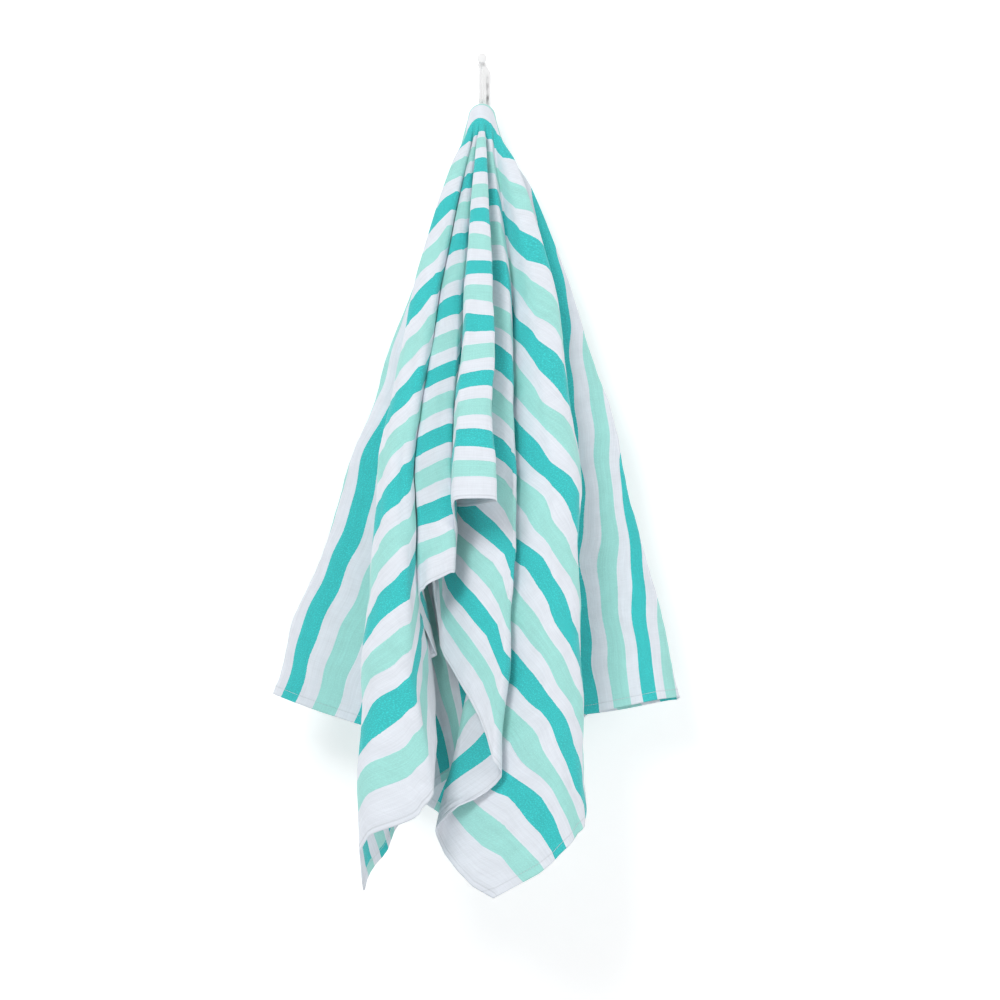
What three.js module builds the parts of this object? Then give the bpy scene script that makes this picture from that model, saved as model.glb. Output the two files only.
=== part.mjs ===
// A striped beach blanket hung from the middle by a tape loop on a wall peg.
// Millimetres. +Z is up, +Y runs into the wall, and the origin is the middle of the peg's flat back end.
import * as THREE from 'three';

// Blanket, as it was cut: stripes run the long way, from hem to hem.
const COLOURED_STRIPES = 29;
const COLOURED = 28;
const WHITE = 22.8;
const SELVEDGE = 36.8;
const WIDTH = COLOURED_STRIPES * COLOURED + (COLOURED_STRIPES - 1) * WHITE + 2 * SELVEDGE;
const LENGTH = 2000;
const CLOTH = 1.5;

// Peg: a foot on the wall, a shaft and a small round head.
const PEG_REACH = 65;
const PEG_RADIUS = 3;
const FOOT_RADIUS = 7;
const FOOT_LENGTH = 3;
const HEAD_RADIUS = 7.5;
const HEAD_LENGTH = 5;
const PEG_EASE = 0.8;
const PEG_SIDES = 32;

// Loop: tape doubled over the peg's shaft, with its two strands side by side and their ends sewn together.
const LOOP_WALL = 1.8;
const LOOP_DEPTH = 6;
const LOOP_EYE_END = -15;
const SLIT_HALF = 0.35;
const SLIT_END = -62;
const GAP = 0.3;

// Top of the hung blanket: a small dome, then folds that open below it.
const DOME_TOP = -72;
const DOME_RADIUS = 21;
const HANG_DEPTH = 54;
const CONE_SLOPE = 0.3;
const APEX_RISE = 12;
const FOLDS_START = 40;
const FOLDS_FULL = { front: 130, back: 220 };

// Mesh of the blanket.
const RINGS = 20;
const RING_GROWTH = 1.5;
const STEPS_PER_LEG = 3;
const SPLINE_PULL = 0.5;
const SMALLEST_RADIUS = 250;
const SMALLEST_BEND = 2.2;
const BEND_SHARE = 0.35;

// Fold lines, once round the hanging point from the left outer edge. `flat` is the angle on the flat cloth
// from the middle of its front edge, in degrees, and `shift` slides the line along the cloth by so many
// millimetres. `high`, `mid` and `low` are how far the line stands to the right of the hanging point at
// 200, 600 and 1000 mm along the cloth. `out` is how far it stands out from the hanging point at 1000 mm,
// `slack` is how much of the cloth's length is left once it crumples, and `open` is the width of the bend.
const LINES = [
  { name: 'left outer edge', flat: -89, shift: 0, high: -66, mid: -194, low: -322, out: 70, slack: 1, open: 10 },
  { name: 'left deep fold', flat: -73, shift: 0, high: -10, mid: -15, low: -20, out: 132, slack: 1, open: 14 },
  { name: 'left turn', flat: -57, shift: 0, high: -50, mid: -122, low: -150, out: 158, slack: 1, open: 0 },
  { name: 'left pleat outer', flat: -50.5, shift: 0, high: -66, mid: -144, low: -172, out: 240, slack: 1, open: 14 },
  { name: 'left pleat inner', flat: -50.5, shift: 60, high: -43, mid: -106, low: -102, out: 262, slack: 1, open: 14 },
  { name: 'left pleat back', flat: -32, shift: 0, high: -38, mid: -99, low: -40, out: 178, slack: 1, open: 8 },
  { name: 'second pleat outer', flat: -20.5, shift: 0, high: -35, mid: -90, low: -66, out: 248, slack: 1, open: 10 },
  { name: 'second pleat inner', flat: -14, shift: 0, high: -25, mid: -44, low: -42, out: 262, slack: 1, open: 6 },
  { name: 'second pleat back', flat: -9, shift: 0, high: -14, mid: -38, low: -42, out: 230, slack: 0.96, open: 6 },
  { name: 'middle pleat left', flat: 0, shift: -22, high: -12, mid: -29, low: -38, out: 305, slack: 0.91, open: 8 },
  { name: 'middle pleat right', flat: 0, shift: 28, high: 9, mid: 19, low: 30, out: 305, slack: 0.91, open: 8 },
  { name: 'middle pleat side', flat: 11, shift: 0, high: -10, mid: -42, low: -42, out: 188, slack: 0.865, open: 0 },
  { name: 'middle pleat back', flat: 19, shift: 0, high: -20, mid: -72, low: -72, out: 160, slack: 0.885, open: 9 },
  { name: 'wide flap left', flat: 30, shift: 0, high: -4, mid: -40, low: -64, out: 180, slack: 1, open: 0 },
  { name: 'wide flap right', flat: 48, shift: -65, high: 25, mid: 49, low: 30, out: 236, slack: 1, open: 12 },
  { name: 'right pleat left', flat: 50, shift: -20, high: 34, mid: 38, low: -28, out: 182, slack: 1, open: 7 },
  { name: 'right pleat middle', flat: 55.6, shift: 0, high: 52, mid: 98, low: 104, out: 238, slack: 1, open: 0 },
  { name: 'right pleat outer', flat: 59.3, shift: 0, high: 75, mid: 137, low: 144, out: 215, slack: 1, open: 14 },
  { name: 'right turn', flat: 67, shift: 0, high: 66, mid: 128, low: 140, out: 125, slack: 1, open: 0 },
  { name: 'right deep fold', flat: 82, shift: 0, high: 4, mid: 8, low: 10, out: 96, slack: 1, open: 14 },
  { name: 'right outer edge', flat: 103, shift: 0, high: 88, mid: 207, low: 303, out: 66, slack: 0.975, open: 10 },
  { name: 'right edge return', flat: 110, shift: 0, high: 55, mid: 110, low: 150, out: 58, slack: 0.93, open: 0 },
  { name: 'back right corner', flat: 127.31, shift: 0, high: -5, mid: -20, low: -25, out: 42, slack: 0.93, open: 8 },
  { name: 'back right side', flat: 147, shift: 0, high: 56, mid: 150, low: 200, out: -14, slack: 0.95, open: 8 },
  { name: 'back middle', flat: 180, shift: 0, high: -50, mid: -150, low: -250, out: -46, slack: 0.95, open: 8 },
  { name: 'back third fold', flat: 199, shift: 0, high: 12, mid: 20, low: 30, out: -13, slack: 0.95, open: 8 },
  { name: 'back left side', flat: 215, shift: 0, high: -50, mid: -145, low: -230, out: -8, slack: 0.95, open: 8 },
  { name: 'back left corner', flat: 232.69, shift: 0, high: -4, mid: 12, low: 8, out: 15, slack: 0.95, open: 8 },
  { name: 'back left fold', flat: 247, shift: 0, high: -40, mid: -105, low: -150, out: 28, slack: 1, open: 8 },
  { name: 'back left turn', flat: 253, shift: 0, high: -14, mid: -45, low: -60, out: 48, slack: 1, open: 8 },
];

const radians = THREE.MathUtils.degToRad;
const degrees = THREE.MathUtils.radToDeg;
const smooth = THREE.MathUtils.smoothstep;

// Where a fold line lies at a given distance along the cloth.
function onLine(line, r) {
  const t = (r - 600) / 400;
  const [high, mid, low] = [line.high / 200, line.mid / 600, line.low / 1000];
  const s = r / 1000;
  return {
    flat: line.flat + degrees(line.shift / Math.max(r, SMALLEST_RADIUS)),
    across: r * (mid + (t * (low - high)) / 2 + (t * t * (low + high - 2 * mid)) / 2),
    out: line.out * (1.6 * s - 0.6 * s * s),
    slack: line.slack,
  };
}

// The two sides of each bend at a given distance along the cloth, in order round the hanging point.
function sectionAt(r) {
  const spots = LINES.map((line) => onLine(line, r));
  const sides = [];
  spots.forEach((spot, n) => {
    const { open } = LINES[n];
    if (open === 0) {
      sides.push(spot);
      return;
    }
    const before = spots[(n + spots.length - 1) % spots.length];
    const after = spots[(n + 1) % spots.length];
    const inward = unit(before, spot).add(unit(after, spot)).normalize();
    const sideways = new THREE.Vector2(-inward.y, inward.x);
    if (sideways.dot(unit(before, spot)) < 0) sideways.negate();
    const shortest = Math.min(apart(before, spot), apart(after, spot));
    const half = Math.min(BEND_SHARE * shortest, Math.max(SMALLEST_BEND, (open / 2) * (r / 600)));
    const turn = degrees(Math.max(half, SMALLEST_BEND) / Math.max(r, SMALLEST_RADIUS));
    for (const side of [1, -1]) {
      sides.push({
        flat: spot.flat - side * turn,
        across: spot.across + side * half * sideways.x,
        out: spot.out + side * half * sideways.y,
        slack: spot.slack,
      });
    }
  });
  return sides;
}

// How far the folds have formed at a given distance along the cloth, from none to all.
function foldShare(r, flat) {
  const front = (1 + Math.cos(radians(flat))) / 2;
  return smooth(r, FOLDS_START, THREE.MathUtils.lerp(FOLDS_FULL.back, FOLDS_FULL.front, front));
}

function apart(from, to) {
  return Math.hypot(from.across - to.across, from.out - to.out);
}

function unit(from, to) {
  return new THREE.Vector2(from.across - to.across, from.out - to.out).normalize();
}

// A soft curve through four neighbouring spots, from the second to the third.
function curve(a, b, c, d, t) {
  const span = c.clone().sub(b).length();
  const leave = c.clone().sub(a).setLength(span * SPLINE_PULL);
  const arrive = d.clone().sub(b).setLength(span * SPLINE_PULL);
  const t2 = t * t;
  const t3 = t2 * t;
  return new THREE.Vector2()
    .addScaledVector(b, 2 * t3 - 3 * t2 + 1)
    .addScaledVector(leave, t3 - 2 * t2 + t)
    .addScaledVector(c, 3 * t2 - 2 * t3)
    .addScaledVector(arrive, t3 - t2);
}

// How far the cloth reaches from the hanging point to its cut edge.
function cutRadius(flat) {
  const across = Math.abs(Math.cos(radians(flat))) / (WIDTH / 2);
  const along = Math.abs(Math.sin(radians(flat))) / (LENGTH / 2);
  return 1 / Math.max(across, along);
}

// A point of the hung cloth: `place` counts the sides of the bends and `share` is the part of the way out.
function hung(place, share) {
  const first = Math.floor(place);
  const t = place - first;
  let r = share * WIDTH / 2;
  let flat = 0;
  let four = [];
  for (let pass = 0; pass < 5; pass += 1) {
    const sides = sectionAt(r);
    const count = sides.length;
    four = [first - 1, first, first + 1, first + 2].map((n) => {
      const side = sides[(n + count) % count];
      const turns = Math.floor(n / count);
      return { ...side, flat: side.flat + 360 * turns, spot: new THREE.Vector2(side.across, side.out) };
    });
    flat = THREE.MathUtils.lerp(four[1].flat, four[2].flat, t);
    r = share * cutRadius(flat);
  }
  const spot = curve(...four.map((side) => side.spot), t);
  const slack = THREE.MathUtils.lerp(four[1].slack, four[2].slack, t);
  const down = Math.sqrt(Math.max((slack * r) ** 2 - spot.lengthSq(), 0));
  const fold = new THREE.Vector3(spot.x, -HANG_DEPTH - spot.y, DOME_TOP + APEX_RISE - down);

  const quarter = (DOME_RADIUS * Math.PI) / 2;
  const bend = Math.min(r, quarter) / DOME_RADIUS;
  const past = Math.max(r - quarter, 0);
  const ring = DOME_RADIUS * Math.sin(bend) + past * CONE_SLOPE;
  const dome = new THREE.Vector3(
    ring * Math.sin(radians(flat)),
    -HANG_DEPTH - ring * Math.cos(radians(flat)),
    DOME_TOP - DOME_RADIUS * (1 - Math.cos(bend)) - past,
  );
  return { point: dome.lerp(fold, foldShare(r, flat)), flat, r };
}

// Where the columns of the mesh stand: one step across each bend and a few along each leg.
function columnPlaces() {
  const places = [];
  let side = 0;
  LINES.forEach(({ open }) => {
    if (open > 0) {
      places.push(side);
      side += 1;
    }
    for (let step = 0; step < STEPS_PER_LEG; step += 1) places.push(side + step / STEPS_PER_LEG);
    side += 1;
  });
  return places;
}

// The hung sheet as a grid of points: one column per step round the folds, one ring per step outwards.
function sheetGrid() {
  const places = columnPlaces();
  const rings = [];
  for (let ring = 1; ring <= RINGS; ring += 1) {
    const share = (ring / RINGS) ** RING_GROWTH;
    rings.push(places.map((place) => hung(place, share)));
  }
  return { columns: places.length, rings };
}

function blanketGeometry() {
  const { columns, rings } = sheetGrid();
  const top = { point: new THREE.Vector3(0, -HANG_DEPTH, DOME_TOP), flat: 0, r: 0 };
  const spots = [top, ...rings.flat()];
  const index = (ring, column) => (ring < 0 ? 0 : 1 + ring * columns + ((column + columns) % columns));
  const faces = [];
  for (let column = 0; column < columns; column += 1) {
    faces.push([0, index(0, column), index(0, column + 1)]);
    for (let ring = 0; ring < RINGS - 1; ring += 1) {
      const a = index(ring, column);
      const b = index(ring + 1, column);
      const c = index(ring + 1, column + 1);
      const d = index(ring, column + 1);
      faces.push([a, b, c], [a, c, d]);
    }
  }
  const normals = spots.map(() => new THREE.Vector3());
  for (const [a, b, c] of faces) {
    const normal = new THREE.Vector3()
      .subVectors(spots[b].point, spots[a].point)
      .cross(new THREE.Vector3().subVectors(spots[c].point, spots[a].point));
    for (const n of [a, b, c]) normals[n].add(normal);
  }
  const positions = [];
  for (const side of [0.5, -0.5]) {
    spots.forEach(({ point }, n) => {
      positions.push(...point.clone().addScaledVector(normals[n].normalize(), side * CLOTH).toArray());
    });
  }
  const under = spots.length;
  const triangles = [];
  for (const [a, b, c] of faces) triangles.push(a, b, c, under + a, under + c, under + b);
  for (let column = 0; column < columns; column += 1) {
    const a = index(RINGS - 1, column);
    const b = index(RINGS - 1, column + 1);
    triangles.push(a, under + a, under + b, a, under + b, b);
  }
  const geometry = new THREE.BufferGeometry();
  geometry.setAttribute('position', new THREE.Float32BufferAttribute(positions, 3));
  geometry.setIndex(triangles);
  return geometry;
}

// The loop's outline, seen from the front, with the slit between its strands as a hole.
function loopGeometry() {
  const eye = PEG_RADIUS + GAP;
  const outer = eye + LOOP_WALL;
  const cushion = DOME_RADIUS + CLOTH / 2 + GAP;
  const domeMiddle = DOME_TOP - DOME_RADIUS;
  const lean = Math.asin(outer / cushion);
  const outline = new THREE.Shape();
  outline.absarc(0, 0, outer, 0, Math.PI, false);
  outline.absarc(0, domeMiddle, cushion, Math.PI / 2 + lean, Math.PI / 2 - lean, true);
  outline.closePath();
  const slit = new THREE.Path();
  slit.absarc(0, 0, eye, 0, Math.PI, false);
  slit.lineTo(-SLIT_HALF, LOOP_EYE_END);
  slit.lineTo(-SLIT_HALF, SLIT_END);
  slit.lineTo(SLIT_HALF, SLIT_END);
  slit.lineTo(SLIT_HALF, LOOP_EYE_END);
  slit.closePath();
  outline.holes.push(slit);
  const geometry = new THREE.ExtrudeGeometry(outline, {
    depth: LOOP_DEPTH,
    bevelEnabled: false,
    curveSegments: 20,
  });
  return geometry.rotateX(Math.PI / 2).translate(0, LOOP_DEPTH / 2 - HANG_DEPTH, 0);
}

// The peg turned about its own axis, from its foot to its head.
function pegGeometry() {
  const headStart = PEG_REACH - HEAD_LENGTH;
  const profile = [
    [0, 0],
    [FOOT_RADIUS, 0],
    [FOOT_RADIUS, FOOT_LENGTH - PEG_EASE],
    [FOOT_RADIUS - PEG_EASE, FOOT_LENGTH],
    [PEG_RADIUS, FOOT_LENGTH],
    [PEG_RADIUS, headStart],
    [HEAD_RADIUS - PEG_EASE, headStart],
    [HEAD_RADIUS, headStart + PEG_EASE],
    [HEAD_RADIUS, PEG_REACH - 2 * PEG_EASE],
    [HEAD_RADIUS - PEG_EASE, PEG_REACH - PEG_EASE / 2],
    [HEAD_RADIUS - 2.5 * PEG_EASE, PEG_REACH],
    [0, PEG_REACH],
  ].map(([radius, reach]) => new THREE.Vector2(radius, reach));
  return new THREE.LatheGeometry(profile, PEG_SIDES).rotateX(Math.PI);
}

function piece(name, geometry, color, roughness) {
  const mesh = new THREE.Mesh(geometry, new THREE.MeshStandardMaterial({ color, roughness, metalness: 0 }));
  mesh.name = name;
  return mesh;
}

const part = new THREE.Group();
part.add(
  piece('blanket', blanketGeometry(), 0xdfe6f0, 0.9),
  piece('loop', loopGeometry(), 0xf4f4f4, 0.85),
  piece('peg', pegGeometry(), 0xfafafa, 0.4),
);
export default part;
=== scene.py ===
"""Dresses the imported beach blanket: a striped cotton sheet hung from its middle by a tape loop on a wall peg.

The folds come from one table, which is also how the solid was shaped, so the fine cloth lies on it.
"""
import math
from typing import NamedTuple

import bmesh
import bpy
import numpy as np
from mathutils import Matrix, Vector


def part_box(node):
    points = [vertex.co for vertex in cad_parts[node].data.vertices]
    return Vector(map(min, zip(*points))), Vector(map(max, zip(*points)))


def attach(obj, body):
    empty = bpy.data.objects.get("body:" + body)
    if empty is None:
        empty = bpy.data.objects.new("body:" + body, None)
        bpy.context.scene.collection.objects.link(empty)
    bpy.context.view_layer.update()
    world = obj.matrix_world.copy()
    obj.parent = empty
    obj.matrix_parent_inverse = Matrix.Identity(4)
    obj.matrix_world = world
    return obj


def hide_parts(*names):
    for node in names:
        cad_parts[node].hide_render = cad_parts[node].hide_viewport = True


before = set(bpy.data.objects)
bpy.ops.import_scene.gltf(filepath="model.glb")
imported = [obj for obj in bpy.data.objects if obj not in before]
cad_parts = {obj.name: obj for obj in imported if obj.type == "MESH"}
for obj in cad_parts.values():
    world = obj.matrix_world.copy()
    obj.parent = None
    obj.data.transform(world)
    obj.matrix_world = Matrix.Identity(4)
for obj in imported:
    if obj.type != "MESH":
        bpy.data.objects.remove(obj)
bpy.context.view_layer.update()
PEG_LOW, PEG_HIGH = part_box("peg")
LOOP_LOW, LOOP_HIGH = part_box("loop")
CLOTH_LOW, CLOTH_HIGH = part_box("blanket")

bl_info = {
    "name": "Hung Beach Blanket",
    "version": (1, 0, 0),
    "blender": (4, 5, 0),
    "location": "View3D > Sidebar > Blanket",
    "description": "Makes a striped blanket hung by its loop on a wall peg",
    "category": "Object",
}

MM = 0.001
FULL_TURN = 360
HALF_TURN = 180

# How the blanket leaves its hanging point, in millimetres.
DOME_RADIUS = 21
CONE_SLOPE = 0.3
APEX_RISE = 12
FOLDS_START = 32
FOLDS_FULL_FRONT = 105
FOLDS_FULL_BACK = 220
SMALLEST_RADIUS = 250
SMALLEST_BEND = 2.2
BEND_SHARE = 0.35
SPLINE_PULL = 0.5
REACH_PASSES = 5

# Where the fold table gives its places, in millimetres along the cloth from the hanging point.
HIGH_REACH = 200
MID_REACH = 600
LOW_REACH = 1000

# The mesh: how fast its rings grow apart, and the share of the way out that the hems' close rings take.
RING_GROWTH = 1.25
EDGE_SHARE = 0.024

# How the cloth between two bends bows out: a share of the stretch's width, and the most, in millimetres.
BELLY_SHARE = 0.07
BELLY_MOST = 7

# The wrinkles' heights, in millimetres, and where along the cloth they start and are full.
LONG_WAVES = 2.2
SHORT_WAVES = 1.1
DENTS = 0.7
WRINKLES_START = 90
WRINKLES_FULL = 700
CREASE_FADE = 0.22

# The strip of cloth that turns under at the wide flap's edge, in degrees on the flat cloth, the share of the
# lift that it loses, and where along the cloth that starts, in millimetres.
UNDER_MIDDLE = 47.5
UNDER_WIDTH = 3
UNDER_SHARE = 0.9
UNDER_START = 800

# How far the stripes wander, over what lengths of cloth, and how far in from its edges, in metres.
WANDER = 0.0042
WANDER_ALONG = 0.15
WANDER_ACROSS = 0.11
WANDER_START = 0.01
WANDER_FULL = 0.09

# How far the whole cloth sways sideways and outwards, in millimetres.
SWAY_SIDEWAYS = 4.5
SWAY_OUT = 2.0

# How much a turned hem adds to each face, its puckers and their pitch, in metres.
HEM_SWELL = 0.00045
PUCKER_SWELL = 0.0002
PUCKER_PITCH = 0.011


class Fold(NamedTuple):
    """A fold line. `flat` is its angle on the flat cloth from the middle of the front edge, in degrees, and
    `shift` slides it along the cloth. `high`, `mid` and `low` are how far it stands to the right of the
    hanging point at the three reaches above, and `out` is how far it stands out at the lowest. `slack` is
    how much of the cloth's length is left once it crumples, and `open` is the width of the bend. Lengths are
    in millimetres."""

    name: str
    flat: float
    shift: float
    high: float
    mid: float
    low: float
    out: float
    slack: float
    open: float


FOLDS = [
    Fold("left outer edge", -89, 0, -66, -194, -322, 70, 1, 10),
    Fold("left deep fold", -73, 0, -10, -15, -20, 132, 1, 14),
    Fold("left turn", -57, 0, -50, -122, -150, 158, 1, 0),
    Fold("left pleat outer", -50.5, 0, -66, -144, -172, 240, 1, 14),
    Fold("left pleat inner", -50.5, 60, -43, -106, -102, 262, 1, 14),
    Fold("left pleat back", -32, 0, -38, -99, -40, 178, 1, 8),
    Fold("second pleat outer", -20.5, 0, -35, -90, -66, 248, 1, 10),
    Fold("second pleat inner", -14, 0, -25, -44, -42, 262, 1, 6),
    Fold("second pleat back", -9, 0, -14, -38, -42, 230, 0.96, 6),
    Fold("middle pleat left", 0, -22, -12, -29, -38, 305, 0.91, 8),
    Fold("middle pleat right", 0, 28, 9, 19, 30, 305, 0.91, 8),
    Fold("middle pleat side", 11, 0, -10, -42, -42, 188, 0.865, 0),
    Fold("middle pleat back", 19, 0, -20, -72, -72, 160, 0.885, 9),
    Fold("wide flap left", 30, 0, -4, -40, -64, 180, 1, 0),
    Fold("wide flap right", 48, -65, 25, 49, 30, 236, 1, 12),
    Fold("right pleat left", 50, -20, 34, 38, -28, 182, 1, 7),
    Fold("right pleat middle", 55.6, 0, 52, 98, 104, 238, 1, 0),
    Fold("right pleat outer", 59.3, 0, 75, 137, 144, 215, 1, 14),
    Fold("right turn", 67, 0, 66, 128, 140, 125, 1, 0),
    Fold("right deep fold", 82, 0, 4, 8, 10, 96, 1, 14),
    Fold("right outer edge", 103, 0, 88, 207, 303, 66, 0.975, 10),
    Fold("right edge return", 110, 0, 55, 110, 150, 58, 0.93, 0),
    Fold("back right corner", 127.31, 0, -5, -20, -25, 42, 0.93, 8),
    Fold("back right side", 147, 0, 56, 150, 200, -14, 0.95, 8),
    Fold("back middle", 180, 0, -50, -150, -250, -46, 0.95, 8),
    Fold("back third fold", 199, 0, 12, 20, 30, -13, 0.95, 8),
    Fold("back left side", 215, 0, -50, -145, -230, -8, 0.95, 8),
    Fold("back left corner", 232.69, 0, -4, 12, 8, 15, 0.95, 8),
    Fold("back left fold", 247, 0, -40, -105, -150, 28, 1, 8),
    Fold("back left turn", 253, 0, -14, -45, -60, 48, 1, 8),
]


class Crease(NamedTuple):
    """A soft ridge along the cloth, or a trough where `height` is below 0. It runs from the flat angle `start`
    at `near` millimetres from the hanging point to the flat angle `end` at `far`, and is `width` millimetres
    wide."""

    name: str
    start: float
    near: float
    end: float
    far: float
    width: float
    height: float


CREASES = [
    Crease("left panel, outer gather", -88, 260, -86, 1010, 16, 4.0),
    Crease("left panel, inner gather", -80, 240, -79, 1000, 14, -3.5),
    Crease("left pleat, side dent", -46, 560, -45, 900, 12, -3.0),
    Crease("left tail, first crumple", -50, 1090, -46, 1190, 9, 4.0),
    Crease("left tail, second crumple", -48, 1130, -51, 1230, 8, -3.5),
    Crease("second pleat, corner crumple", -17, 640, -15, 740, 8, 2.5),
    Crease("second pleat, middle dent", -17, 380, -16, 640, 9, -2.2),
    Crease("middle pleat, left dent", -1.2, 430, -1.0, 720, 9, -2.0),
    Crease("wide flap, long soft fold", 36, 420, 37, 960, 20, 5.0),
    Crease("wide flap, second soft fold", 41, 520, 43, 1000, 15, -4.0),
    Crease("right pleat, small ridge", 55.5, 820, 55.5, 1080, 8, 4.0),
    Crease("right pleat, low dent", 57.5, 700, 58, 1120, 9, -2.5),
    Crease("right panel, inner wave", 88, 420, 87, 1010, 14, 4.5),
    Crease("right panel, middle wave", 92, 420, 91.5, 1010, 13, -4.0),
    Crease("right panel, outer wave", 97, 380, 96, 1010, 12, 4.0),
]


def smooth_step(values, low, high):
    share = np.clip((values - low) / (high - low), 0, 1)
    return share * share * (3 - 2 * share)


def steady_noise(points, seed):
    """A smooth field between about -1 and 1 over rows of points, the same on every run."""
    total = np.zeros(len(points))
    spread = np.random.default_rng(seed)
    for octave in range(6):
        direction = spread.normal(size=points.shape[1])
        direction /= np.linalg.norm(direction)
        pace = 2 * math.pi * (0.75 + 0.35 * octave * spread.random())
        total += np.sin(points @ direction * pace + spread.random() * 2 * math.pi)
    return total / 3.2


# ---------------------------------------------------------------- the hung cloth's shape


def fold_column(field):
    return np.array([getattr(fold, field) for fold in FOLDS], dtype=float)


def lengths(vectors):
    return np.linalg.norm(vectors, axis=-1)


def from_front(angle):
    """The same angle, brought to within half a turn of the middle of the front edge."""
    return (angle + HALF_TURN) % FULL_TURN - HALF_TURN


def unit_rows(vectors):
    return vectors / np.maximum(lengths(vectors), 1e-9)[..., None]


def folds_formed(reach, flat):
    """How far the folds have formed at each distance along the cloth, from none to all."""
    front = (1 + np.cos(np.radians(flat))) / 2
    full = FOLDS_FULL_BACK + (FOLDS_FULL_FRONT - FOLDS_FULL_BACK) * front
    return smooth_step(reach, FOLDS_START, full)


def bend_sides(reach):
    """The sides of each bend at each reach along the cloth: flat angles, places and slacks, in order round."""
    r = reach[:, None]
    t = (r - MID_REACH) / (LOW_REACH - MID_REACH)
    reaches = {"high": HIGH_REACH, "mid": MID_REACH, "low": LOW_REACH}
    high, mid, low = (fold_column(field) / at for field, at in reaches.items())
    across = r * (mid + t * (low - high) / 2 + t * t * (low + high - 2 * mid) / 2)
    s = r / LOW_REACH
    out = fold_column("out") * (1.6 * s - 0.6 * s * s)
    flat = fold_column("flat") + np.degrees(fold_column("shift") / np.maximum(r, SMALLEST_RADIUS))
    spot = np.stack([across, out], axis=-1)
    before = np.roll(spot, 1, axis=1) - spot
    after = np.roll(spot, -1, axis=1) - spot
    inward = unit_rows(unit_rows(before) + unit_rows(after))
    sideways = np.stack([-inward[..., 1], inward[..., 0]], axis=-1)
    sideways *= np.where((sideways * before).sum(-1) < 0, -1, 1)[..., None]
    wanted = np.maximum(SMALLEST_BEND, fold_column("open") / 2 * r / MID_REACH)
    half = np.minimum(BEND_SHARE * np.minimum(lengths(before), lengths(after)), wanted)
    turn = np.degrees(np.maximum(half, SMALLEST_BEND) / np.maximum(r, SMALLEST_RADIUS))
    flats, spots, slacks = [], [], []
    for n, fold in enumerate(FOLDS):
        for side in (1, -1) if fold.open else (0,):
            flats.append(flat[:, n] - side * turn[:, n])
            spots.append(spot[:, n] + side * half[:, n, None] * sideways[:, n])
            slacks.append(np.full(len(reach), fold.slack))
    return np.stack(flats, 1), np.stack(spots, 1), np.stack(slacks, 1)


def cut_reach(cut, flat):
    """How far the cloth reaches from the hanging point to its cut edge, at each flat angle."""
    across = np.abs(np.cos(np.radians(flat))) / (cut.width / MM / 2)
    along = np.abs(np.sin(np.radians(flat))) / (cut.length / MM / 2)
    return 1 / np.maximum(across, along)


def soft_curve(a, b, c, d, t):
    """A soft curve through four neighbouring spots, from the second to the third."""
    span = lengths(c - b)[:, None] * SPLINE_PULL
    leave, arrive = unit_rows(c - a) * span, unit_rows(d - b) * span
    t = t[:, None]
    t2, t3 = t * t, t * t * t
    start, end = b * (2 * t3 - 3 * t2 + 1), c * (3 * t2 - 2 * t3)
    return start + leave * (t3 - 2 * t2 + t) + end + arrive * (t3 - t2)


def hang(cut, place, share, nudge):
    """Points of the hung cloth, in millimetres, with their flat angles, their distances from the hanging point
    and how far they bow out. `place` counts the sides of the bends, `share` is the part of the way out and
    `nudge` turns a column's angle."""
    first = np.floor(place).astype(int)
    t = place - first
    rows = np.arange(len(place))
    reach = share * cut.width / MM / 2
    for _ in range(REACH_PASSES):
        flats, spots, slacks = bend_sides(reach)
        count = flats.shape[1]
        picks = [(rows, (first + step) % count) for step in (-1, 0, 1, 2)]
        laps = [(first + step) // count * FULL_TURN for step in (0, 1)]
        start, end = flats[picks[1]] + laps[0], flats[picks[2]] + laps[1]
        flat = start + (end - start) * t + nudge * share * share
        reach = share * cut_reach(cut, flat)
    spot = soft_curve(*(spots[pick] for pick in picks), t)
    slack = slacks[picks[1]] * (1 - t) + slacks[picks[2]] * t
    leg = lengths(spots[picks[2]] - spots[picks[1]])
    dome_top = (CLOTH_HIGH.z - cut.thickness / 2) / MM
    hang_depth = -(LOOP_LOW.y + LOOP_HIGH.y) / 2 / MM
    down = np.sqrt(np.maximum((slack * reach) ** 2 - (spot**2).sum(-1), 0))
    fold = np.stack([spot[:, 0], -hang_depth - spot[:, 1], dome_top + APEX_RISE - down], axis=-1)
    quarter = DOME_RADIUS * math.pi / 2
    bend = np.minimum(reach, quarter) / DOME_RADIUS
    past = np.maximum(reach - quarter, 0)
    ring = DOME_RADIUS * np.sin(bend) + past * CONE_SLOPE
    angle = np.radians(flat)
    fall = DOME_RADIUS * (1 - np.cos(bend)) + past
    dome = np.stack([ring * np.sin(angle), -hang_depth - ring * np.cos(angle), dome_top - fall], axis=-1)
    formed = folds_formed(reach, flat)[:, None]
    belly = np.minimum(leg * BELLY_SHARE, BELLY_MOST) * 4 * t * (1 - t) * formed[:, 0]
    return dome + (fold - dome) * formed, flat, reach, belly


def column_places(bend_steps, leg_steps):
    """Where the columns of the mesh stand, counted in sides of bends."""
    places, side = [], 0
    for fold in FOLDS:
        if fold.open:
            places += [side + step / bend_steps for step in range(bend_steps)]
            side += 1
        places += [side + step / leg_steps for step in range(leg_steps)]
        side += 1
    return np.array(places)


def ring_shares(rings, edge_rings, edge_share):
    """How far out the rings of the mesh lie, close together where the hems are."""
    inner = (np.arange(1, rings + 1) / rings) ** RING_GROWTH * (1 - edge_share)
    outer = 1 - edge_share + edge_share * np.arange(1, edge_rings + 1) / edge_rings
    return np.concatenate([inner, outer])


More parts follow.
